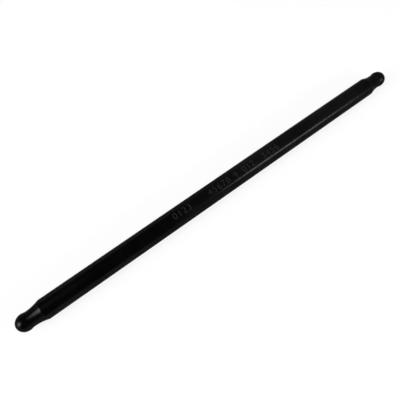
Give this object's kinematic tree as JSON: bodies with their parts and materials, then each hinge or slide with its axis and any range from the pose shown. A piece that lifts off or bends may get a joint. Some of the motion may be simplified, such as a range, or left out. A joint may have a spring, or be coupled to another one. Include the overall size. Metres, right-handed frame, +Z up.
{
  "type": "engine pushrod",
  "caption": "One-piece steel pushrod: a thick-walled tube with a ball formed on each end and an oil passage right through.",
  "frame": {"origin": "centre of the ball at the valve lifter's end, on the rod's axis", "axes": "+X along the rod's axis towards the rocker arm's end, +Z up from the surface that the rod lies on"},
  "size_m": [0.2154, 0.0096, 0.0096],
  "materials": {
    "black_oxide_steel": "black oxide, satin on the ground tube and polished on the balls"
  },
  "bodies": {
    "root": {"pushrod": "black_oxide_steel"}
  },
  "joints": []
}
